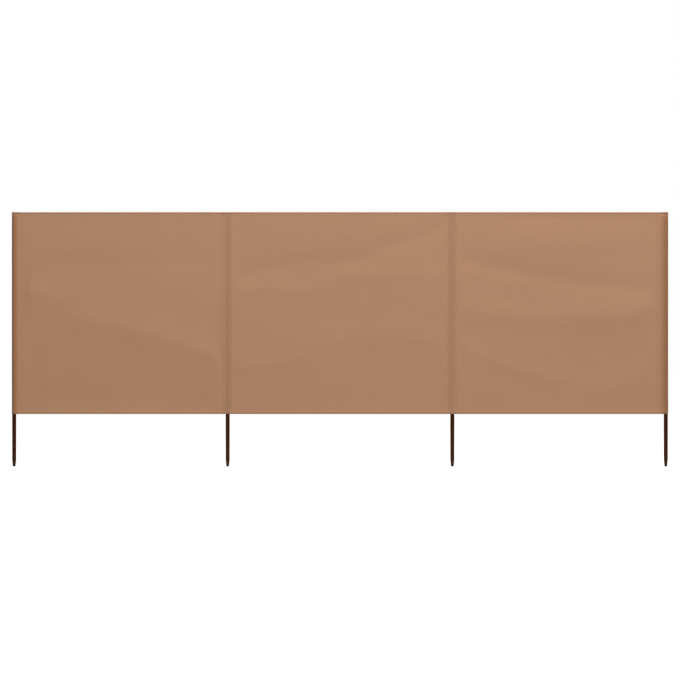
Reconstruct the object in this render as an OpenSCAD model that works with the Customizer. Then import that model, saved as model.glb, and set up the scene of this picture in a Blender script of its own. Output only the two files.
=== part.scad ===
// Beach windbreak: three bays of cloth on four steel poles with plastic ground tips.
// Millimetres. X runs along the windbreak, -Y is its front, Z is up.
// The origin is the flat end of the left pole's tip.

/* [Run of bays] */
// Distance between pole centres in each end bay
end_bay = 1301; // [700:1:2000]
// Distance between pole centres in the middle bay
mid_bay = 1369; // [700:1:2000]

/* [Cloth] */
// Height of the cloth from its bottom edge to its top edge
cloth_h = 1230; // [600:5:1800]
// Modelled thickness of a panel
cloth_t = 1.6; // [1:0.1:3]
// Height of the folded hems along the top and bottom edges
hem_h = 10; // [8:1:30]
// How far a folded hem stands out from each face of its panel
hem_step = 0.8; // [0.4:0.1:1.6]
// Wall of a pole tunnel, with the slack in its cloth
tunnel_wall = 1.7; // [1.5:0.1:5]

/* [Poles] */
// Outer diameter of the pole tube
pole_d = 25; // [20:0.5:32]
// Wall of the pole tube
pole_wall = 1; // [0.6:0.1:1.5]
// Length of each leg below the cloth, with its tip
leg_h = 320; // [150:5:600]
// Height of empty tunnel between a pole's top end and the top hem
head_h = 20; // [1:1:60]

/* [Ground tips] */
// Outer diameter of the pole's narrowed lower end
neck_d = 19.6; // [16:0.1:20]
// Length of the taper from the pole's full width to its lower end
taper_h = 27; // [10:1:60]
// How far the plastic tip stands out past the tube's bore, to seat on the tube's end
tip_lip = 0.2; // [0.1:0.1:0.6]
// Height of the tip below the end of the tube
tip_h = 18; // [8:1:40]
// Radius of the tip's rounded edge
tip_round = 6.5; // [2:0.5:7]
// Length of the tip's plug inside the tube
plug_h = 22; // [10:1:26]

/* [Fits] */
// Gap between a pole and its tunnel, all round
pole_gap = 0.3; // [0.1:0.1:0.8]
// Gap between a tunnel and the cloth that starts beside it
seam_gap = 0.3; // [0.1:0.1:0.8]
// Gap between a tip's plug and the tube, all round
plug_gap = 0.3; // [0.1:0.05:0.5]

/* [Hidden] */
$fn = 96;
pole_x = [0, end_bay, end_bay + mid_bay, 2 * end_bay + mid_bay];
pole_count = len(pole_x);
bay_count = pole_count - 1;

pole_r = pole_d / 2;
neck_r = neck_d / 2;
neck_bore_r = neck_r - pole_wall;
tip_r = neck_bore_r + tip_lip;
plug_r = neck_bore_r - plug_gap;
tunnel_r = pole_r + pole_gap + tunnel_wall;

cloth_z = leg_h;
cloth_top = cloth_z + cloth_h;
tunnel_roof = cloth_top - hem_h;
pole_top = tunnel_roof - head_h;
edge_inset = tunnel_r + seam_gap;
hem_t = cloth_t + 2 * hem_step;

cloth_color = [0.67, 0.51, 0.40];
tunnel_color = [0.61, 0.45, 0.33];
hem_color = [0.64, 0.48, 0.37];
pole_color = [0.20, 0.10, 0.05];
tip_color = [0.06, 0.06, 0.06];

POLE_PARTS = ["pole", "tip", "tunnel"];
BAY_PARTS = ["panel", "top_hem", "bottom_hem"];

// Tube with a narrowed lower end that grips the tip
module pole(i) {
    taper_top = tip_h + taper_h;
    color(pole_color)
        translate([pole_x[i - 1], 0, 0])
            rotate_extrude()
                polygon([
                    [neck_bore_r, tip_h],
                    [neck_r, tip_h],
                    [pole_r, taper_top],
                    [pole_r, pole_top],
                    [pole_r - pole_wall, pole_top],
                    [pole_r - pole_wall, taper_top]
                ]);
}

// Half outline of the tip below the tube: flat end, rounded edge, straight side
module tip_nose_outline() {
    intersection() {
        square([tip_r, tip_h]);
        union() {
            square([tip_r - tip_round, tip_h]);
            translate([0, tip_round])
                square([tip_r, tip_h - tip_round]);
            translate([tip_r - tip_round, tip_round])
                circle(tip_round);
        }
    }
}

// Plastic tip: a rounded nose on a plug that fits the end of the tube
module tip(i) {
    color(tip_color)
        translate([pole_x[i - 1], 0, 0])
            union() {
                rotate_extrude()
                    tip_nose_outline();
                translate([0, 0, tip_h - tip_round])
                    cylinder(r = plug_r, h = plug_h + tip_round);
            }
}

// Cloth tunnel round a pole, open at the bottom and sewn shut under the top hem
module tunnel(i) {
    color(tunnel_color)
        translate([pole_x[i - 1], 0, cloth_z])
            difference() {
                cylinder(r = tunnel_r, h = cloth_h);
                translate([0, 0, -1])
                    cylinder(r = pole_r + pole_gap, h = cloth_h - hem_h + 1);
            }
}

// Upright strip of cloth between two tunnels
module strip(i, z, h, t) {
    left = pole_x[i - 1] + edge_inset;
    right = pole_x[i] - edge_inset;
    translate([left, -t / 2, z])
        cube([right - left, t, h]);
}

module panel(i) {
    color(cloth_color)
        strip(i, cloth_z + hem_h, cloth_h - 2 * hem_h, cloth_t);
}

module top_hem(i) {
    color(hem_color)
        strip(i, cloth_top - hem_h, hem_h, hem_t);
}

module bottom_hem(i) {
    color(hem_color)
        strip(i, cloth_z, hem_h, hem_t);
}

for (i = [1:pole_count]) {
    pole(i);
    tip(i);
    tunnel(i);
}
for (i = [1:bay_count]) {
    panel(i);
    top_hem(i);
    bottom_hem(i);
}
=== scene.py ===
"""Looks of a three-bay beach windbreak: brown cloth sewn into tunnels on four steel poles.

Sizes are in metres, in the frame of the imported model: X along the windbreak, -Y its front, Z up.
The screen is three sheets of cloth. The outer two wrap round an end pole and cross an inner pole, and the
middle one joins them. A strip sewn to the back of each crossing makes the tunnel of that inner pole.
"""
import math

import bpy
import numpy as np
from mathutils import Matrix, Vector


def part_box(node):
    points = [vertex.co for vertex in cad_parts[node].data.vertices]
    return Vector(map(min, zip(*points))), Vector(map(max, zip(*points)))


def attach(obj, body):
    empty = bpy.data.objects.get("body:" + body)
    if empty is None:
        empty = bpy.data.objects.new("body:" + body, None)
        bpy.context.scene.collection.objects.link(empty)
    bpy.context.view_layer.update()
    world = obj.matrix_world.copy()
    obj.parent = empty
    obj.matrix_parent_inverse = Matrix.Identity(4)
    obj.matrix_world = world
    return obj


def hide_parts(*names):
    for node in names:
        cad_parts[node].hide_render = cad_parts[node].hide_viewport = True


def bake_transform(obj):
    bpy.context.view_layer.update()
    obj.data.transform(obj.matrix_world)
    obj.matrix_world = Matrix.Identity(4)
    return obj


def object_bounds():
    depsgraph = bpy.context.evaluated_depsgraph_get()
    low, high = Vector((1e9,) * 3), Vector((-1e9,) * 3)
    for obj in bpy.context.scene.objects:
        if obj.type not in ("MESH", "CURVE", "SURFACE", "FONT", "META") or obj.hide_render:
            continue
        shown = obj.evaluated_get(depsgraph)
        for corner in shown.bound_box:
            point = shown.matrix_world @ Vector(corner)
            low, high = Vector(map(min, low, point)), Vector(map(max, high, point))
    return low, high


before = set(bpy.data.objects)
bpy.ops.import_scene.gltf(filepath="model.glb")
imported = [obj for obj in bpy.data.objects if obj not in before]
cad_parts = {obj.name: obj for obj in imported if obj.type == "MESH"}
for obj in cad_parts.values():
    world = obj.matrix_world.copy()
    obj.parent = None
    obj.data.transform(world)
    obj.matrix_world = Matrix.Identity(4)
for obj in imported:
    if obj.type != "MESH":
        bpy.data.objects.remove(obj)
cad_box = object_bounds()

# ---------------------------------------------------------------- places and sizes from the frame

POLE_COUNT = 4
BAY_COUNT = POLE_COUNT - 1


def middle_x(node):
    low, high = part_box(node)
    return (low[0] + high[0]) / 2


POLE_X = [middle_x(f"pole_{i + 1}") for i in range(POLE_COUNT)]
POLE_R = (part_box("pole_1")[1][0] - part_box("pole_1")[0][0]) / 2
POLE_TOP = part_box("pole_1")[1][2]
TUNNEL_R = (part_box("tunnel_1")[1][0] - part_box("tunnel_1")[0][0]) / 2
CLOTH_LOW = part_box("tunnel_1")[0][2]
CLOTH_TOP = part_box("tunnel_1")[1][2]
HEM_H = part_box("top_hem_1")[1][2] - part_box("top_hem_1")[0][2]

# ---------------------------------------------------------------- sizes of the sewing

CLOTH_T = 0.0005        # thickness of one layer of cloth
LAYER = 0.0006          # from the middle of one sewn layer to the middle of the next
FRONT = 0.0115          # how far the screen passes in front of the inner poles' line
SEAM_IN = 0.023         # from an inner pole's axis to the middle of each seam beside it
SEAM_END = 0.048        # from an end pole's axis to the middle of its seam
SEAM_HALF = 0.004       # from a seam's middle to where the cloth is free
STRIP_HALF = 0.006      # from a seam's middle to the turned edge of the strip or flap behind it
ROW_HALF = 0.0028       # from a seam's middle to each of its two rows of stitches
HEM_SEAM = 0.0083       # from the cloth's edge to the hem's stitches
FOOT_H = 0.015          # height above the bottom hem over which a tunnel takes its own shape
PINCH_LOW = 0.001       # height above a pole's top end at which its tunnel starts to close
PINCH_HIGH = 0.0165     # and at which it is shut
WRAP_R = TUNNEL_R - CLOTH_T / 2 - 0.0001    # middle of the cloth round an end pole
FRONT_R = POLE_R + CLOTH_T / 2 + 0.0004     # middle of the cloth over an inner pole's front
STRIP_R = POLE_R + CLOTH_T / 2 + 0.0008     # middle of the strip round an inner pole's back
JOIN = 0.0004           # gap between two sheets where they meet in a seam
STRIP_UP = 0.002        # how far a strip's foot and head lie inside the cloth's edges
STEP_OVER = (0.001, 0.008)      # from a strip's edge to where the top hem's step over it starts and ends

STITCH = 0.0034         # length of one stitch that shows
STITCH_STEP = 0.0046    # from one stitch to the next
THREAD_R = 0.00032
THREAD_UP = 0.35        # how far a stitch's middle stands clear of the cloth, in its radii
THREAD_FULL = 0.28      # from a stitch's middle to where it thins, in its lengths
STRAIGHT = 0.95         # a stitch that spans less than this share of its length would cross a fold

# ---------------------------------------------------------------- steps of the meshes

PANEL_STEP = 0.014      # along a panel
ROW_STEP = 0.0075       # up a sheet
EDGE_STEPS = 5          # on each side of a turned edge, and round it
RUN_STEPS = 8           # from a seam to where the cloth meets an end pole or the back of an inner one
BAG_STEPS = 26          # round an end pole
BACK_STEPS = 10         # round the back of an inner pole
FRONT_STEPS = 5         # over the front of an inner pole, and from each seam to it
SEAM_STEPS = 3          # across half a seam
HEAD_STEPS = 9          # up the closer rows where a tunnel closes
NEAR_SEAM = (0, 0.002, 0.004, 0.006, 0.009, 0.013, 0.018, 0.025)    # columns of a panel beside a seam


def smooth(a, b, x):
    """0 at a, 1 at b, with a smooth step between."""
    t = np.clip((np.asarray(x, float) - a) / (b - a), 0, 1)
    return t * t * (3 - 2 * t)


def bell(off, width):
    """1 in the middle, and nearly nothing two widths away."""
    return np.exp(-((off / width) ** 2))


def added(name, data):
    """A new object in the scene."""
    thing = bpy.data.objects.new(name, data)
    bpy.context.collection.objects.link(thing)
    return thing


# ---------------------------------------------------------------- camera

VIEW_WIDTH = 1.036      # width of the view at the cloth, in widths of the cloth
VIEW_HEIGHT = 0.4975    # height that the camera looks at, in heights of the windbreak
CAMERA_AWAY = 26.0      # from the poles' line
VIEW_END = 200.0        # how far the camera sees


def make_camera():
    """A long lens, level and square on to the front."""
    low, high = cad_box
    camera = added("camera", bpy.data.cameras.new("camera"))
    camera.location = ((low[0] + high[0]) / 2, -CAMERA_AWAY, high[2] * VIEW_HEIGHT)
    camera.rotation_euler = (math.pi / 2, 0, 0)
    camera.data.lens = camera.data.sensor_width * CAMERA_AWAY / (VIEW_WIDTH * (high[0] - low[0]))
    camera.data.clip_end = VIEW_END
    bpy.context.scene.camera = camera


# ---------------------------------------------------------------- materials


class Nodes:
    """A node tree, built by calls that return the socket to read."""

    def __init__(self, tree):
        self.tree = tree

    def give(self, socket, value):
        if isinstance(value, bpy.types.NodeSocket):
            self.tree.links.new(value, socket)
        else:
            socket.default_value = value

    def add(self, kind, settings=None, **inputs):
        node = self.tree.nodes.new(kind)
        for key, value in (settings or {}).items():
            setattr(node, key, value)
        for key, value in inputs.items():
            self.give(node.inputs[key.replace("_", " ")], value)
        return node

    def math(self, operation, *values):
        node = self.add("ShaderNodeMath", {"operation": operation})
        for socket, value in zip(node.inputs, values):
            self.give(socket, value)
        return node.outputs[0]

    def attribute(self, name, output="Fac"):
        return self.add("ShaderNodeAttribute", {"attribute_name": name}).outputs[output]

    def place(self):
        return self.add("ShaderNodeTexCoord").outputs["Object"]

    def stretched(self, vector, scale):
        return self.add("ShaderNodeMapping", Vector=vector, Scale=scale).outputs["Vector"]

    def split(self, vector):
        return self.add("ShaderNodeSeparateXYZ", Vector=vector).outputs

    def noise(self, vector, scale, detail=2.0, roughness=0.5):
        node = self.add("ShaderNodeTexNoise", Vector=vector, Scale=scale, Detail=detail, Roughness=roughness)
        return node.outputs["Fac"]

    def ramp(self, value, low, high, to_low=0.0, to_high=1.0):
        ends = {"From_Min": low, "From_Max": high, "To_Min": to_low, "To_Max": to_high}
        return self.add("ShaderNodeMapRange", {"clamp": True}, Value=value, **ends).outputs["Result"]

    def mix(self, factor, a, b):
        node = self.add("ShaderNodeMix", {"data_type": "RGBA"})
        for socket, value in zip((node.inputs[0], node.inputs[6], node.inputs[7]), (factor, a, b)):
            self.give(socket, value)
        return node.outputs[2]

    def scaled(self, color, value):
        """The colour times a number: its hue stays."""
        node = self.add("ShaderNodeVectorMath", {"operation": "SCALE"}, Scale=value)
        self.give(node.inputs[0], color if isinstance(color, bpy.types.NodeSocket) else color[:3])
        return node.outputs[0]

    def bump(self, height, strength, distance, under=None):
        node = self.add("ShaderNodeBump", Height=height, Strength=strength, Distance=distance)
        if under is not None:
            self.give(node.inputs["Normal"], under)
        return node.outputs["Normal"]


class Shader(Nodes):
    """A material's nodes, which end in its Principled BSDF."""

    def __init__(self, name):
        self.material = bpy.data.materials.new(name)
        self.material.use_nodes = True
        super().__init__(self.material.node_tree)
        self.bsdf = self.tree.nodes["Principled BSDF"]

    def finish(self, color, normal, **plain):
        self.give(self.bsdf.inputs["Base Color"], color)
        self.give(self.bsdf.inputs["Normal"], normal)
        for key, value in plain.items():
            self.give(self.bsdf.inputs[key.replace("_", " ")], value)
        return self.material


CLOTH_COLOR = (0.418, 0.227, 0.1315, 1)
POLE_SHADE_COLOR = (0.310, 0.145, 0.066, 1)     # painted shade: cloth darkened where a dark end pole close behind it blocks the light through it
SHEEN_COLOR = (0.9, 0.78, 0.66, 1)
THREAD_COLOR = (0.330, 0.178, 0.100, 1)
POLE_COLOR = (0.041, 0.0098, 0.0008, 1)
POLE_RUBBED = (0.115, 0.062, 0.038, 1)
POLE_DUST = (0.20, 0.15, 0.11, 1)
TIP_COLOR = (0.0055, 0.005, 0.005, 1)
TIP_SCUFFED = (0.032, 0.029, 0.028, 1)
YARN = 0.0006           # from one yarn to the next
WEAVE_BUMP = 0.00012    # depth of the weave
CRUMPLE_BUMP = 0.0012   # depth of the cloth's small crumples
PUCKER_BUMP = 0.0045    # depth of the puckers beside seams and hems
PEBBLE_BUMP = 0.0002    # depth of the powder coat's pebbles
FINE_BUMP = 0.0001      # depth of the thread's twist, the coat's scratches and the tips' grain
LEG_WORN = (0.02, 0.26)         # heights between which a leg's wear fades away
TIP_WORN = (0.001, 0.010)       # and a tip's


def cloth_material():
    """Plain woven polyester: yarns over and under each other, uneven yarns and soft mottling."""
    s = Shader("woven_polyester")
    woven = s.attribute("woven", "Vector")
    along, up, _ = s.split(woven)
    warp = s.math("SINE", s.math("MULTIPLY", along, math.pi / YARN))
    weft = s.math("SINE", s.math("MULTIPLY", up, math.pi / YARN))
    over = s.math("MULTIPLY", warp, weft)
    knuckle = s.math("POWER", s.math("ABSOLUTE", over), 0.6)

    uneven_weft = s.noise(s.stretched(woven, (18, 900, 1)), 1.0, 2.0, 0.6)
    uneven_warp = s.noise(s.stretched(woven, (900, 18, 1)), 1.0, 2.0, 0.6)
    uneven = s.math("ADD", uneven_weft, uneven_warp)
    mottle = s.noise(woven, 9.0, 4.0, 0.55)
    cloud = s.noise(woven, 1.7, 2.0, 0.5)

    # painted shade: darker in the gaps between the yarns' crossings
    shade = s.math("MULTIPLY", s.ramp(knuckle, 0, 1, 0.84, 1.05), s.ramp(over, -1, 1, 0.97, 1.03))
    shade = s.math("MULTIPLY", shade, s.ramp(uneven, 0.7, 1.3, 0.94, 1.06))
    shade = s.math("MULTIPLY", shade, s.ramp(mottle, 0.3, 0.7, 0.985, 1.015))
    shade = s.math("MULTIPLY", shade, s.ramp(cloud, 0.3, 0.7, 0.985, 1.015))
    # painted shade along the poles and the hems' stitches, and a painted highlight just inside the hems
    shade = s.math("MULTIPLY", shade, s.attribute("shade"))

    # painted shade where a dark pole behind the cloth blocks the light through it
    color = s.mix(s.attribute("backing"), CLOTH_COLOR, POLE_SHADE_COLOR)
    normal = s.bump(s.math("MULTIPLY_ADD", uneven, 0.6, knuckle), 0.5, WEAVE_BUMP)
    normal = s.bump(s.noise(woven, 60.0, 3.0, 0.6), 0.12, CRUMPLE_BUMP, normal)
    side_pucker = s.noise(s.stretched(woven, (28, 95, 1)), 1.0, 2.0, 0.5)
    edge_pucker = s.noise(s.stretched(woven, (95, 28, 1)), 1.0, 2.0, 0.5)
    pucker = s.math("MULTIPLY", side_pucker, s.attribute("beside_seam"))
    pucker = s.math("MULTIPLY_ADD", edge_pucker, s.attribute("beside_hem"), pucker)
    normal = s.bump(pucker, 1.0, PUCKER_BUMP, normal)
    return s.finish(s.scaled(color, shade), normal, Roughness=0.88, Specular_IOR_Level=0.25,
                    Sheen_Weight=0.12, Sheen_Roughness=0.55, Sheen_Tint=SHEEN_COLOR)


def thread_material():
    """Polyester thread with a faint twist."""
    s = Shader("sewing_thread")
    twist = s.noise(s.place(), 1800.0, 1.0)
    color = s.scaled(THREAD_COLOR, s.ramp(twist, 0.3, 0.7, 0.85, 1.15))
    return s.finish(color, s.bump(twist, 0.3, FINE_BUMP), Roughness=0.7, Specular_IOR_Level=0.35)


def pole_material():
    """Satin brown powder coat, finely pebbled, a little dusty and rubbed where the legs go into sand."""
    s = Shader("brown_powder_coat")
    place = s.place()
    height = s.split(place)[2]
    pebble = s.noise(place, 650.0, 2.0, 0.5)
    cloud = s.noise(place, 14.0, 3.0, 0.6)
    scratch = s.noise(s.stretched(place, (900, 900, 22)), 1.0, 3.0, 0.7)
    low = s.ramp(height, *LEG_WORN, 1.0, 0.0)
    worn = s.math("MULTIPLY", low, s.ramp(scratch, 0.56, 0.70))
    dust = s.math("MULTIPLY", low, s.ramp(cloud, 0.35, 0.75, 0.0, 0.35))
    color = s.scaled(POLE_COLOR, s.ramp(cloud, 0.3, 0.7, 0.9, 1.1))
    color = s.mix(s.math("MULTIPLY", worn, 0.45), color, POLE_RUBBED)
    color = s.mix(s.math("MULTIPLY", dust, 0.3), color, POLE_DUST)
    rough = s.math("MULTIPLY_ADD", worn, 0.2, s.ramp(cloud, 0.3, 0.7, 0.42, 0.50))
    normal = s.bump(scratch, 0.10, FINE_BUMP, s.bump(pebble, 0.25, PEBBLE_BUMP))
    return s.finish(color, normal, Roughness=rough, Specular_IOR_Level=0.04)


def tip_material():
    """Black moulded plastic with a fine spark texture, scuffed grey on its rounded end."""
    s = Shader("black_moulded_plastic")
    place = s.place()
    height = s.split(place)[2]
    grain = s.noise(place, 1500.0, 2.0, 0.6)
    scuff = s.noise(s.stretched(place, (500, 500, 160)), 1.0, 4.0, 0.7)
    rubbed = s.math("MULTIPLY", s.ramp(height, *TIP_WORN, 0.8, 0.1), s.ramp(scuff, 0.52, 0.72))
    color = s.mix(rubbed, TIP_COLOR, TIP_SCUFFED)
    rough = s.math("MULTIPLY_ADD", rubbed, 0.2, 0.48)
    return s.finish(color, s.bump(grain, 0.3, FINE_BUMP), Roughness=rough, Specular_IOR_Level=0.08)


# ---------------------------------------------------------------- outlines of the sheets in plan
#
# A sheet's outline is a run of points seen from above. It differs with height, so each sheet has five:
# its middle, its foot and head where hems make room for their layers, and the hem's own layer at each.

STATES = ("middle", "foot", "foot_hem", "head", "head_hem")


def line(a, b, count):
    """Points from a towards b, without b."""
    share = np.linspace(0, 1, count + 1)[:-1, None]
    return np.array(a) * (1 - share) + np.array(b) * share


def arc(centre, radius, first, last, count):
    """Points on a circle from one angle towards another, in degrees, without the last."""
    turn = np.radians(np.linspace(first, last, count + 1)[:-1])
    return np.array(centre) + radius * np.c_[np.cos(turn), np.sin(turn)]


def on_circle(radius, angle):
    return radius * np.array([math.cos(math.radians(angle)), math.sin(math.radians(angle))])


def touch(point, radius, side):
    """Angle where a taut line from a point meets a circle round the origin, on the point's given side."""
    bearing = math.degrees(math.atan2(point[1], point[0])) % 360
    return bearing + side * math.degrees(math.acos(radius / math.hypot(*point)))


def turned_edge(start, edge, y_in, y_out):
    """A cloth edge turned under: in along y_in from start to edge, round, and back to start on y_out."""
    way = math.copysign(1, edge - start)
    fold = abs(y_out - y_in) / 2
    bend = arc((0, 0), fold, -90, 90, EDGE_STEPS)
    bend[:, 0] *= way
    bend += (edge - way * fold, (y_in + y_out) / 2)
    return np.vstack([line((start, y_in), (edge - way * fold, y_in), EDGE_STEPS), bend,
                      line((edge - way * fold, y_out), (start, y_out), EDGE_STEPS)])


# The columns of a turned edge that show, from its bend to its start.
TURNED_COLUMNS = slice(2 * EDGE_STEPS, 3 * EDGE_STEPS + 1)
PRESSED_SHARE = 0.4     # a pressed tunnel passes from front to back within this share of its radius


def pressed(points, on_back, y_front, y_back):
    """The same columns with the tunnel pressed flat: on_back runs from -1 at the front to 1 at the back."""
    flat = points.copy()
    flat[:, 1] = (y_front + y_back) / 2 + on_back * (y_back - y_front) / 2
    return flat


def end_tunnel():
    """Outlines round an end pole at the origin, from the flap's turned edge to the seam on the front."""
    seam = SEAM_END - SEAM_HALF
    edge = SEAM_END + STRIP_HALF
    layers = {                                      # radius, front, turned-in edge, back
        "middle": (WRAP_R, 0, 1, 2),
        "foot": (WRAP_R, 0, 2, 5),
        "foot_hem": (WRAP_R - LAYER, 1, 3, 4),
        "head": (WRAP_R, 0, 2, 5),
        "head_hem": (WRAP_R - LAYER, 1, 3, 4),
    }
    outlines = {}
    for state, (radius, front, inner, outer) in layers.items():
        back_seam, front_seam = (seam, outer * LAYER), (seam, front * LAYER)
        first, last = touch(back_seam, radius, 1), touch(front_seam, radius, -1) + 360
        flap = turned_edge(seam, edge, inner * LAYER, outer * LAYER)
        back = line(back_seam, on_circle(radius, first), RUN_STEPS)
        bag = arc((0, 0), radius, first, last, BAG_STEPS)
        front_run = line(on_circle(radius, last), front_seam, RUN_STEPS)
        if state.startswith("head"):
            on_back = np.clip(bag[:, 1] / (PRESSED_SHARE * radius), -1, 1)
            bag = pressed(bag, on_back, front * LAYER, outer * LAYER)
            back[:, 1] = outer * LAYER
            front_run[:, 1] = front * LAYER
        outlines[state] = np.vstack([flap, back, bag, front_run])
    return outlines


def crossing():
    """Outlines of the screen over an inner pole at the origin, from one seam's free edge to the other's."""
    bag = SEAM_IN - SEAM_HALF
    layers = {"middle": (0, 0), "foot": (LAYER, 0), "foot_hem": (0, 1), "head": (0, 0), "head_hem": (0, 3)}
    outlines = {}
    for state, (more, layer) in layers.items():
        y = -FRONT + layer * LAYER
        radius = FRONT_R + more
        first, last = touch((-bag, y), radius, 1), touch((bag, y), radius, -1)
        left = line((-SEAM_IN, y), (-bag, y), SEAM_STEPS)
        rise = line((-bag, y), on_circle(radius, first), FRONT_STEPS)
        over = arc((0, 0), radius, first, last, FRONT_STEPS)
        fall = line(on_circle(radius, last), (bag, y), FRONT_STEPS)
        right = line((bag, y), (SEAM_IN, y), SEAM_STEPS)
        run = np.vstack([left, rise, over, fall, right, [(SEAM_IN, y)]])
        if state.startswith("head"):
            run[:, 1] = y
        outlines[state] = run
    return outlines


def strip():
    """Outlines of the strip behind an inner pole at the origin, from turned edge to turned edge."""
    bag = SEAM_IN - SEAM_HALF
    edge = SEAM_IN + STRIP_HALF
    layers = {"middle": (STRIP_R, 1, 2), "foot": (STRIP_R + LAYER, 2, 5), "foot_hem": (STRIP_R, 3, 4),
              "head": (STRIP_R, 1, 2), "head_hem": (STRIP_R, 1, 2)}
    outlines = {}
    for state, (radius, inner, outer) in layers.items():
        y_in, y_out = -FRONT + inner * LAYER, -FRONT + outer * LAYER
        first, last = touch((-bag, y_out), radius, -1), touch((bag, y_out), radius, 1)
        left = turned_edge(-bag, -edge, y_in, y_out)
        right = turned_edge(bag, edge, y_in, y_out)[::-1]
        rise = line((-bag, y_out), on_circle(radius, first), RUN_STEPS)
        over = arc((0, 0), radius, first, last % 360, BACK_STEPS)
        fall = line(on_circle(radius, last), (bag, y_out), RUN_STEPS)
        run = np.vstack([rise, over, fall, [(bag, y_out)]])
        if state.startswith("head"):
            run[:, 1] = y_out
        outlines[state] = np.vstack([left, run, right])
    return outlines


def pushed_back(points, layers):
    """Points moved back by a number of layers, which may differ from point to point."""
    back = LAYER * layers + np.zeros(len(points))
    return points + np.c_[np.zeros(len(points)), back]


def panel(a, b, crossings):
    """Outlines of a straight panel from a to b. Its head's hem steps back over the strips at crossings."""
    length = b[0] - a[0]
    near = np.array(NEAR_SEAM)
    count = round((length - 2 * near[-1]) / PANEL_STEP)
    free = np.linspace(near[-1], length - near[-1], count + 1)[1:-1]
    along = np.concatenate([near, free, length - near[::-1]])
    plain = np.c_[a[0] + along, a[1] + (b[1] - a[1]) * along / length]
    over = np.zeros(len(plain))
    for pole_x in crossings:
        off_strip = np.abs(plain[:, 0] - pole_x) - SEAM_IN - STRIP_HALF
        over = np.maximum(over, 1 - smooth(*STEP_OVER, off_strip))
    shift = {"middle": 0, "foot": 0, "foot_hem": 1, "head": 0, "head_hem": 1 + 2 * over}
    return {state: pushed_back(plain, layers) for state, layers in shift.items()}


def moved(outlines, x, way=1):
    """Outlines moved along the windbreak, and mirrored if way is -1."""
    return {state: (points * (way, 1) + (x, 0))[::way] for state, points in outlines.items()}


def joined(*runs):
    """One set of outlines from runs that follow each other. A point that two runs share is kept once."""
    together = {}
    for state in STATES:
        parts = [run[state] for run in runs]
        for i in range(len(parts) - 1):
            if np.allclose(parts[i][-1], parts[i + 1][0], atol=1e-5):
                parts[i] = parts[i][:-1]
        together[state] = np.vstack(parts)
    return together


def screen_outlines():
    """Outlines of the three sheets, each from left to right across the front."""
    a, b, c, d = POLE_X
    left = joined(moved(end_tunnel(), a), panel((a + SEAM_END - SEAM_HALF, 0), (b - SEAM_IN, -FRONT), [b]),
                  moved(crossing(), b))
    centre = panel((b + SEAM_IN, -FRONT), (c - SEAM_IN, -FRONT), [b, c])
    centre["middle"][0, 0] += JOIN
    centre["middle"][-1, 0] -= JOIN
    right = joined(moved(crossing(), c), panel((c + SEAM_IN, -FRONT), (d - SEAM_END + SEAM_HALF, 0), [c]),
                   moved(end_tunnel(), d, -1))
    return [left, centre, right]


# ---------------------------------------------------------------- rows of a sheet, from hem to hem

# How far each row of a hem lies from the cloth's edge.
HEM_STEPS = (HEM_H, HEM_SEAM + 0.0008, HEM_SEAM, HEM_SEAM - 0.0012, 0.0052, 0.003, 0.0012)
BODY_UP = 0.006         # from the bottom hem to the first of the even rows
BODY_DOWN = 0.036       # from the top edge to the last of the even rows


def fold_rows(edge, way):
    """Height and layer of the rows round a hem's folded edge, from the hem's layer to the sheet's."""
    turn = np.radians([-67.5, -22.5, 22.5, 67.5])
    return [(edge + way * LAYER / 2 * (1 - math.cos(t)), 0.5 - math.sin(t) / 2) for t in turn]


def sheet_rows(low, high, top_hem=True):
    """Height and layer of each row: up the front from the bottom hem, and down the back of the top hem."""
    rows = [(low + up, 1.0) for up in HEM_STEPS] + fold_rows(low, 1)
    rows += [(low + up, 0.0) for up in HEM_STEPS[::-1]]
    body_low, body_high = low + HEM_H + BODY_UP, high - BODY_DOWN
    count = round((body_high - body_low) / ROW_STEP)
    rows += [(z, 0.0) for z in np.linspace(body_low, body_high, count + 1)]
    close = np.linspace(body_high, high - HEM_H, HEAD_STEPS + 1)[1:-1]
    rows += [(z, 0.0) for z in close] + [(high - down, 0.0) for down in HEM_STEPS]
    if top_hem:
        rows += fold_rows(high, -1)[::-1] + [(high - down, 1.0) for down in HEM_STEPS[::-1]]
    return np.array(rows)


def surface(outlines, rows):
    """Middle of the cloth as a grid of points, before its folds."""
    z, layer = rows[:, 0, None, None], rows[:, 1, None, None]
    foot = 1 - smooth(CLOTH_LOW + HEM_H, CLOTH_LOW + HEM_H + FOOT_H, z)
    head = smooth(POLE_TOP + PINCH_LOW, POLE_TOP + PINCH_HIGH, z)
    middle = outlines["middle"] * (1 - foot - head)
    main = middle + outlines["foot"] * foot + outlines["head"] * head
    hem = middle + outlines["foot_hem"] * foot + outlines["head_hem"] * head
    xy = main * (1 - layer) + hem * layer
    return np.concatenate([xy, np.broadcast_to(z, xy.shape[:2] + (1,))], axis=-1)


# ---------------------------------------------------------------- folds and gathers of the cloth

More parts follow.
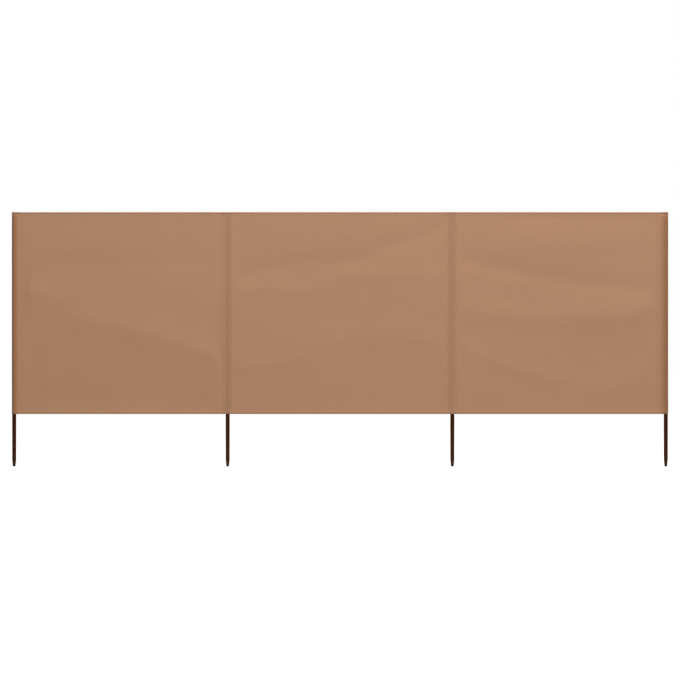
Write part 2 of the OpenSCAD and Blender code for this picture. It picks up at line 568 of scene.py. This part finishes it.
# Soft folds of each panel: where the crest runs from and to, as shares of the panel's width and height, then
# its width, how far it stands out to the front and how far its middle bows up, in metres.
FOLDS = [
    [((-0.40, 0.66), (0.40, 0.56), 0.050, 0.0032, 0.00),
     ((0.20, 0.50), (1.20, 0.18), 0.055, 0.0032, 0.04),
     ((-0.30, 0.72), (1.20, 0.15), 0.150, 0.0080, 0.02),
     ((-0.30, 0.09), (1.20, 0.05), 0.070, -0.0032, 0.00),
     ((0.10, 0.76), (1.15, 0.73), 0.050, -0.0022, 0.00),
     ((-0.40, 0.78), (0.45, 0.82), 0.080, 0.0040, 0.00)],
    [((-0.15, 0.66), (0.65, 0.80), 0.065, -0.0056, 0.00),
     ((0.25, 0.84), (0.85, 0.85), 0.030, -0.0014, 0.00),
     ((0.10, 0.57), (1.20, 1.02), 0.046, -0.0034, 0.00),
     ((-0.15, 0.62), (0.58, 0.615), 0.042, 0.0028, 0.00),
     ((0.30, 0.69), (1.15, 0.68), 0.055, 0.0026, 0.00),
     ((0.20, 0.305), (1.15, 0.29), 0.075, 0.0044, 0.12),
     ((-0.30, 0.16), (0.52, 0.31), 0.040, 0.0034, 0.00)],
    [((0.15, 0.97), (1.10, 0.965), 0.040, -0.0024, 0.00),
     ((0.00, 0.86), (1.10, 0.85), 0.070, 0.0028, 0.00),
     ((-0.25, 0.86), (1.15, 0.61), 0.060, -0.0056, -0.075),
     ((-0.30, 0.60), (1.30, 0.60), 0.080, 0.0070, -0.15),
     ((0.40, 0.48), (1.40, 0.50), 0.200, 0.0060, 0.00),
     ((-0.15, 0.48), (0.65, 0.15), 0.050, 0.0036, -0.09),
     ((0.55, 0.10), (1.25, 0.26), 0.090, 0.0070, 0.00),
     ((0.985, 0.975), (0.945, 0.905), 0.016, 0.0021, 0.00)],
]
FADE_IN = (-0.10, 0.35)     # where along its crest, as shares of its length, a fold starts and is full
FADE_OUT = (1.10, 0.65)     # where it ends, and where it is full up to
BELLY = [0.0030, 0.0010, 0.0020]        # how far the middle of each panel lies behind its seams
BELLY_AT_HEMS = 0.45        # share of it that is left at the hems
FOLD_RAMP = 0.055           # from a seam to where the soft folds are full
GATHER_RAMP = 0.004         # and to where the gathers are

GATHER = 0.00016            # how far the stitches' gathers stand out
SEAM_GATHERS = (0.0052, 2.3, 0.11)      # beat of the gathers up a seam: see uneven_wave
HEM_GATHERS = (0.0074, 1.9, 0.15)       # and along a hem
SEAM_REACH = 0.060          # how far from a seam its gathers die away
HEM_REACH = 0.022           # and from a hem
SWELL = 0.23                # beat of the stronger and weaker stretches of the gathers up a seam
PUFF = 0.0005               # how far the cloth stands out beside a seam
END_PUFF = 0.3              # share of it at the end seams
PUFF_OFF = 0.0085           # from a seam's middle to where it stands out most
PUFF_WIDTH = 0.0035


def fold_depth(bay, share, rise):
    """How far a panel's cloth lies behind its taut plane, at shares of its width and height."""
    width, height = POLE_X[bay + 1] - POLE_X[bay], CLOTH_TOP - CLOTH_LOW
    upright = BELLY_AT_HEMS + (1 - BELLY_AT_HEMS) * np.sin(np.pi * rise)
    depth = BELLY[bay] * np.sin(np.pi * share) * upright
    for (s0, t0), (s1, t1), spread, crest, bow in FOLDS[bay]:
        dx, dz = (s1 - s0) * width, (t1 - t0) * height
        length = math.hypot(dx, dz)
        px, pz = (share - s0) * width, (rise - t0) * height
        reach = (px * dx + pz * dz) / length ** 2
        off = (px * dz - pz * dx) / length + bow * np.sin(np.pi * np.clip(reach, 0, 1))
        ends = smooth(*FADE_IN, reach) * smooth(*FADE_OUT, reach)
        depth = depth - crest * ends * bell(off, spread)
    return depth


def uneven_wave(place, beat, sway, sway_beat, phase):
    """A wave of one radian per beat, which runs ahead and lags by sway radians as it goes."""
    return np.sin(place / beat + sway * np.sin(place / sway_beat + phase))


def gathers(bay, x, z):
    """Small gathers that the stitches pull into the cloth beside each seam and hem."""
    side = np.minimum(x - POLE_X[bay], POLE_X[bay + 1] - x)
    edge = np.minimum(z - CLOTH_LOW, CLOTH_TOP - z)
    seams = uneven_wave(z, *SEAM_GATHERS, bay) * np.exp(-side / SEAM_REACH)
    hems = uneven_wave(x, *HEM_GATHERS, bay) * np.exp(-edge / HEM_REACH)
    return GATHER * (seams * (0.6 + 0.4 * np.sin(z / SWELL + bay)) + hems)


END_SEAMS = [POLE_X[0] + SEAM_END, POLE_X[-1] - SEAM_END]
INNER_SEAMS = [pole_x + side * SEAM_IN for pole_x in POLE_X[1:-1] for side in (-1, 1)]


def off_seams(x):
    """Distance from the nearest seam's middle."""
    return np.min([np.abs(x - seam) for seam in END_SEAMS + INNER_SEAMS], axis=0)


def seam_puff(x):
    """How far the cloth stands out in front on both sides of each seam."""
    at_end = np.minimum(x - POLE_X[0], POLE_X[-1] - x) < 2 * SEAM_END
    return PUFF * np.where(at_end, END_PUFF, 1.0) * bell(off_seams(x) - PUFF_OFF, PUFF_WIDTH)


def on_front(outline):
    """Which columns of an outline are the screen's front, and not a tunnel's back or a turned edge."""
    return (np.gradient(outline[:, 0]) > 0) & (outline[:, 1] < LAYER / 2)


def creased(bay, points, outline):
    """A sheet's points with the panel's folds and gathers in them, puffed out beside the seams."""
    x0, x1 = POLE_X[bay], POLE_X[bay + 1]
    first = x0 + (SEAM_END if bay == 0 else SEAM_IN) + SEAM_HALF
    last = x1 - (SEAM_END if bay == BAY_COUNT - 1 else SEAM_IN) - SEAM_HALF
    front = on_front(outline)
    x, z = points[..., 0], points[..., 2]
    free = smooth(first, first + FOLD_RAMP, x) * smooth(last, last - FOLD_RAMP, x) * front
    near = smooth(first, first + GATHER_RAMP, x) * smooth(last, last - GATHER_RAMP, x) * front
    share = np.clip((x - x0) / (x1 - x0), 0, 1)
    rise = np.clip((z - CLOTH_LOW) / (CLOTH_TOP - CLOTH_LOW), 0, 1)
    points = points.copy()
    points[..., 1] += fold_depth(bay, share, rise) * free + gathers(bay, x, z) * near
    points[..., 1] -= seam_puff(x) * front
    return points


# ---------------------------------------------------------------- shade painted on the cloth

# Painted shade where a dark pole close behind blocks the light through the cloth: how strongly, and how far
# from its axis it is full and gone.
ROUND_END = (1.0, 0.010, 0.0145)                    # where the cloth wraps right round an end pole
BESIDE_END = (0.70, 0.008, SEAM_END - 0.002)        # in the tunnel beside it
OVER_INNER = (0.20, 0.006, 0.017)

# Painted shade: darker bands of the cloth along each pole, from the first: offset from its axis, width and
# depth.
POLE_BANDS = [
    [(-0.0070, 0.0050, 0.30)],
    [(0.0, 0.0165, 0.105)],
    [(-0.0150, 0.0055, 0.135), (0.0065, 0.0105, 0.085)],
    [(0.0060, 0.0050, 0.16), (0.0130, 0.0032, 0.20)],
]
# Bands along each hem, painted shade at the stitches and a painted highlight just inside them: distance from
# the cloth's edge, width and depth, which is below 0 for a paler one.
HEM_BANDS = [(HEM_SEAM, 0.0022, 0.14), (HEM_SEAM + 0.0062, 0.0030, -0.08)]


def fading(off, strength, full, gone):
    """A strength that is full near by and gone farther off."""
    return strength * (1 - smooth(full, gone, off))


def backing(x):
    """How strongly the painted shade of the dark poles behind the cloth is laid on."""
    off_ends = np.minimum(np.abs(x - POLE_X[0]), np.abs(x - POLE_X[-1]))
    off_inner = np.minimum(np.abs(x - POLE_X[1]), np.abs(x - POLE_X[2]))
    at_ends = np.maximum(fading(off_ends, *ROUND_END), fading(off_ends, *BESIDE_END))
    return np.maximum(at_ends, fading(off_inner, *OVER_INNER))


def banded(off, bands):
    """What the bands leave of the cloth's shade at distances off their pole or edge."""
    shade = np.ones_like(off)
    for place, width, depth in bands:
        shade *= 1 - depth * bell(off - place, width)
    return shade


def painted_shade(x, z):
    """The cloth's painted shade and light: painted shade along the poles and the hems' stitches, and a
    painted highlight just inside the hems.
    """
    shade = banded(np.minimum(z - CLOTH_LOW, CLOTH_TOP - z), HEM_BANDS)
    for pole_x, bands in zip(POLE_X, POLE_BANDS):
        shade *= banded(x - pole_x, bands)
    return shade


# ---------------------------------------------------------------- meshes


def mesh_object(name, vertices, faces, material, attributes=None, sharp=50):
    """A smooth mesh that is creased where it bends by more than sharp degrees, with values at its points."""
    mesh = bpy.data.meshes.new(name)
    mesh.from_pydata(np.asarray(vertices).tolist(), [], np.asarray(faces).tolist())
    mesh.update()
    for key, values in (attributes or {}).items():
        values = np.asarray(values, np.float32)
        kind, field = ("FLOAT", "value") if values.ndim == 1 else ("FLOAT_VECTOR", "vector")
        mesh.attributes.new(key, kind, "POINT").data.foreach_set(field, values.ravel())
    mesh.shade_smooth()
    mesh.set_sharp_from_angle(angle=math.radians(sharp))
    mesh.materials.append(material)
    return added(name, mesh)


def unit(vectors):
    return vectors / np.linalg.norm(vectors, axis=-1, keepdims=True)


def normals_of(points):
    """Unit normals of a grid of points. They point to the front where its columns run to the right."""
    return unit(np.cross(np.gradient(points, axis=1), np.gradient(points, axis=0)))


def lengths(points):
    """Distance run along a line of points, from 0 at the first."""
    return np.concatenate([[0], np.cumsum(np.linalg.norm(np.diff(points, axis=0), axis=-1))])


SEAM_PUCKER = 0.010     # how far from a seam its puckers die away
HEM_PUCKER = 0.006      # and from a hem's stitches


def cloth_object(name, points, material):
    """A closed sheet of cloth round a grid of middle points."""
    rows, cols = points.shape[:2]
    count = rows * cols
    normal = normals_of(points)
    vertices = np.vstack([(points + side * normal * CLOTH_T / 2).reshape(-1, 3) for side in (1, -1)])
    index = np.arange(count).reshape(rows, cols)
    front = np.stack([index[:-1, :-1], index[:-1, 1:], index[1:, 1:], index[1:, :-1]], axis=-1).reshape(-1, 4)
    rim = np.concatenate([index[0, :-1], index[:-1, -1], index[-1, :0:-1], index[:0:-1, 0]])
    after = np.roll(rim, -1)
    border = np.stack([after, rim, rim + count, after + count], axis=-1)
    faces = np.vstack([front, front[:, ::-1] + count, border])
    along = lengths(points[rows // 2])
    up = lengths(points[:, cols // 2])
    woven = np.stack(np.broadcast_arrays(along[None], up[:, None], np.zeros((1, 1))), axis=-1).reshape(-1, 3)
    x, z = vertices[:, 0], vertices[:, 2]
    off_hem_seam = np.abs(np.minimum(z - CLOTH_LOW, CLOTH_TOP - z) - HEM_SEAM)
    # the shade and pole attributes carry painted shade, and a painted highlight just inside the hems
    attributes = {"woven": np.vstack([woven, woven]), "shade": painted_shade(x, z), "backing": backing(x),
                  "beside_seam": np.exp(-off_seams(x) / SEAM_PUCKER),
                  "beside_hem": np.exp(-off_hem_seam / HEM_PUCKER)}
    piece = mesh_object(name, vertices, faces, material, attributes)
    piece["flat"] = (float(along[-1]), float(up[-1]))
    return piece


def along_run(run, values, places):
    """Values given at the points of a run, read at places along it."""
    return np.stack([np.interp(places, run, values[:, k]) for k in range(3)], axis=-1)


def stitch_points(middle, along, out, side):
    """One stitch: its first end, two rings of four points and its last end."""
    points = [middle - along * STITCH / 2]
    for place in (-THREAD_FULL, THREAD_FULL):
        for turn in np.radians([0, 90, 180, 270]):
            ring = (math.cos(turn) * side + math.sin(turn) * out) * THREAD_R
            points.append(middle + along * STITCH * place + ring)
    points.append(middle + along * STITCH / 2)
    return points


def stitch_faces(base):
    """The faces of one stitch whose points start at base."""
    faces = []
    for k in range(4):
        after = (k + 1) % 4
        faces.append((base, base + 1 + after, base + 1 + k))
        faces.append((base + 1 + k, base + 1 + after, base + 5 + after))
        faces.append((base + 1 + k, base + 5 + after, base + 5 + k))
        faces.append((base + 5 + k, base + 5 + after, base + 9))
    return faces


def stitches(name, runs, material):
    """Stitches along runs, but not round sharp folds. A run has its points and their outward normals."""
    vertices, faces = [], []
    for points, outward in runs:
        run = lengths(points)
        count = int(run[-1] / STITCH_STEP)
        centres = (np.arange(count) + 0.5) * run[-1] / count
        span = along_run(run, points, centres + STITCH / 2) - along_run(run, points, centres - STITCH / 2)
        straight = np.linalg.norm(span, axis=-1) > STRAIGHT * STITCH
        out = unit(along_run(run, outward, centres))
        along = unit(span)
        side = np.cross(along, out)
        middles = along_run(run, points, centres) + out * THREAD_R * THREAD_UP
        for stitch in zip(middles[straight], along[straight], out[straight], side[straight]):
            faces += stitch_faces(len(vertices))
            vertices += stitch_points(*stitch)
    return mesh_object(name, vertices, faces, material, sharp=180)


# ---------------------------------------------------------------- pieces of cloth


def row_run(points, row, columns, side=1):
    """A run of stitches along a row of the cloth, on its front or, with side -1, its other face."""
    normal = side * normals_of(points)[row, columns]
    return points[row, columns] + normal * CLOTH_T / 2, normal


def column_run(points, rows, columns, x, way):
    """A run of stitches up the cloth at x, on its face to the front (way -1) or to the back (way 1)."""
    near = points[rows, columns]
    near = near[:, np.argsort(near[0, :, 0])]
    y = [np.interp(x, row[:, 0], row[:, 1]) + way * CLOTH_T / 2 for row in near]
    run = np.c_[np.full(len(y), x), y, near[:, 0, 2]]
    return run, np.tile((0.0, way, 0.0), (len(y), 1))


def seam_rows(*seams):
    """Places of the rows of stitches: two to each seam."""
    return [seam + side * ROW_HALF for seam in seams for side in (-1, 1)]


def span_of(chosen):
    """The slice from the first to the last of the chosen rows or columns."""
    places = np.flatnonzero(chosen)
    return slice(places[0], places[-1] + 1)


def is_hem_seam(z):
    """Whether the hem's stitches run at this height."""
    return math.isclose(min(z - CLOTH_LOW, CLOTH_TOP - z), HEM_SEAM, abs_tol=1e-6)


def make_sheet(bay, outlines, cloth, thread):
    """One sheet of the screen and its stitches."""
    rows = sheet_rows(CLOTH_LOW, CLOTH_TOP)
    outline = outlines["middle"]
    points = creased(bay, surface(outlines, rows), outline)
    front = span_of(on_front(outline))
    body = span_of(rows[:, 1] == 0)
    under_hem = slice(body.start, body.stop - len(HEM_STEPS))
    runs = [row_run(points, i, slice(None)) for i, z in enumerate(rows[:, 0]) if is_hem_seam(z)]
    low, high = outline[:, 0].min(), outline[:, 0].max()
    for x in seam_rows(*END_SEAMS, *INNER_SEAMS):
        if low < x < high:
            runs.append(column_run(points, body, front, x, -1))
    if bay != 1:
        flap = TURNED_COLUMNS if bay == 0 else slice(-TURNED_COLUMNS.stop, -TURNED_COLUMNS.start)
        for x in seam_rows(END_SEAMS[0] if bay == 0 else END_SEAMS[1]):
            runs.append(column_run(points, under_hem, flap, x, 1))
    return (cloth_object(f"cloth_bay_{bay + 1}", points, cloth),
            stitches(f"stitches_bay_{bay + 1}", runs, thread))


def make_strip(i, cloth, thread):
    """The strip behind an inner pole and its stitches."""
    rows = sheet_rows(CLOTH_LOW + STRIP_UP, CLOTH_TOP - STRIP_UP, top_hem=False)
    points = surface(moved(strip(), POLE_X[i]), rows)
    outer = slice(TURNED_COLUMNS.start, -TURNED_COLUMNS.start)
    body = span_of((rows[:, 1] == 0) & (rows[:, 0] < CLOTH_TOP - HEM_H))
    hem_row = body.start + HEM_STEPS[::-1].index(HEM_SEAM)
    runs = [row_run(points, hem_row, outer, -1)]
    for x in seam_rows(POLE_X[i] - SEAM_IN, POLE_X[i] + SEAM_IN):
        runs.append(column_run(points, body, outer, x, 1))
    return (cloth_object(f"tunnel_strip_{i + 1}", points, cloth),
            stitches(f"tunnel_stitches_{i + 1}", runs, thread))


def fold_at(pole, *pieces):
    """Pieces beside an inner pole, with their place baked into their meshes."""
    for piece in pieces:
        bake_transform(piece)


# ---------------------------------------------------------------- stage and light

WHITE = (1, 1, 1, 1)
FLOOR_HALF = 60.0
FLOOR_COLOR = (0.50, 0.50, 0.50, 1)
FLOOR_GLOW = 0.68       # what the floor gives off to the eye: with the light that it reflects, it looks white
ROOM_COLOR = (1.0, 0.99, 0.975, 1)
ROOM_LIGHT = 0.38
SCREEN_X = (POLE_X[0] + POLE_X[-1]) / 2     # the screen's middle, along it


def make_floor():
    """A wide white floor that keeps the object's shadow."""
    s = Shader("white_floor")
    mesh = bpy.data.meshes.new("floor")
    corners = [(x * FLOOR_HALF, y * FLOOR_HALF, 0) for x, y in ((-1, -1), (1, -1), (1, 1), (-1, 1))]
    mesh.from_pydata(corners, [], [(0, 1, 2, 3)])
    floor = added("floor", mesh)
    floor.location = (SCREEN_X, 0, 0)
    s.give(s.bsdf.inputs["Base Color"], FLOOR_COLOR)
    s.give(s.bsdf.inputs["Roughness"], 0.9)
    s.give(s.bsdf.inputs["Specular IOR Level"], 0.2)
    strength = s.math("MULTIPLY", seen_by_eye(s), FLOOR_GLOW)
    glow = s.add("ShaderNodeEmission", Color=WHITE, Strength=strength)
    total = s.add("ShaderNodeAddShader")
    s.give(total.inputs[0], s.bsdf.outputs[0])
    s.give(total.inputs[1], glow.outputs[0])
    s.give(s.tree.nodes["Material Output"].inputs["Surface"], total.outputs[0])
    mesh.materials.append(s.material)


def seen_by_eye(s):
    """1 for rays from the camera and for what gloss and glass show of the background, 0 for light."""
    rays = s.add("ShaderNodeLightPath").outputs
    shown = s.math("MAXIMUM", rays["Is Glossy Ray"], rays["Is Transmission Ray"])
    return s.math("MAXIMUM", rays["Is Camera Ray"], shown)


def make_world():
    """Soft studio light, with a white background."""
    world = bpy.data.worlds.new("studio")
    world.use_nodes = True
    bpy.context.scene.world = world
    s = Nodes(world.node_tree)
    light = s.tree.nodes["Background"]
    s.give(light.inputs["Color"], ROOM_COLOR)
    s.give(light.inputs["Strength"], ROOM_LIGHT)
    white = s.add("ShaderNodeBackground", Color=WHITE, Strength=1.0)
    mix = s.add("ShaderNodeMixShader")
    for socket, value in zip(mix.inputs, (seen_by_eye(s), light.outputs[0], white.outputs[0])):
        s.give(socket, value)
    s.give(s.tree.nodes["World Output"].inputs["Surface"], mix.outputs[0])


def facing(away):
    """The turn of a lamp that shines back along the way it stands off."""
    return (-Vector(away)).to_track_quat("-Z", "Y").to_euler()


def make_sun(away, strength, angle):
    """Soft light from one side, the same all over the cloth."""
    data = bpy.data.lights.new("sun", "SUN")
    data.energy = strength
    data.angle = math.radians(angle)
    lamp = added("sun", data)
    lamp.rotation_euler = facing(away)


def make_lamp(name, away, width, height, power):
    """A soft box that faces the middle of the windbreak from a given way off."""
    data = bpy.data.lights.new(name, "AREA")
    data.shape = "RECTANGLE"
    data.size = width
    data.size_y = height
    data.energy = power
    lamp = added(name, data)
    lamp.location = Vector((SCREEN_X, 0, CLOTH_TOP / 2)) + Vector(away)
    lamp.rotation_euler = facing(away)


# ---------------------------------------------------------------- the scene

make_camera()
make_floor()
make_world()
make_sun(away=(0.20, -0.78, 0.60), strength=1.00, angle=20)
make_lamp("top", away=(1.0, -2.9, 4.4), width=7.0, height=1.5, power=198)
make_lamp("rear", away=(2.6, 4.6, 5.4), width=3.0, height=3.0, power=200)

for kind, material in (("pole", pole_material()), ("tip", tip_material())):
    for i in range(POLE_COUNT):
        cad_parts[f"{kind}_{i + 1}"].material_slots[0].material = material

cloth = cloth_material()
thread = thread_material()
for bay, outlines in enumerate(screen_outlines()):
    number = bay + 1
    sheet, sewing = make_sheet(bay, outlines, cloth, thread)
    nodes = [f"panel_{number}", f"top_hem_{number}", f"bottom_hem_{number}"]
    if number == 2:
        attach(sheet, "bay_2")
        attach(sewing, "bay_2")
    else:
        fold_at(2 if number == 1 else 3, sheet, sewing)
        nodes.append("tunnel_1" if number == 1 else "tunnel_4")
    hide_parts(*nodes)

for pole in (2, 3):
    sheet, sewing = make_strip(pole - 1, cloth, thread)
    fold_at(pole, sheet, sewing)
    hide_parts(f"tunnel_{pole}")

bpy.context.scene.view_settings.view_transform = "Standard"
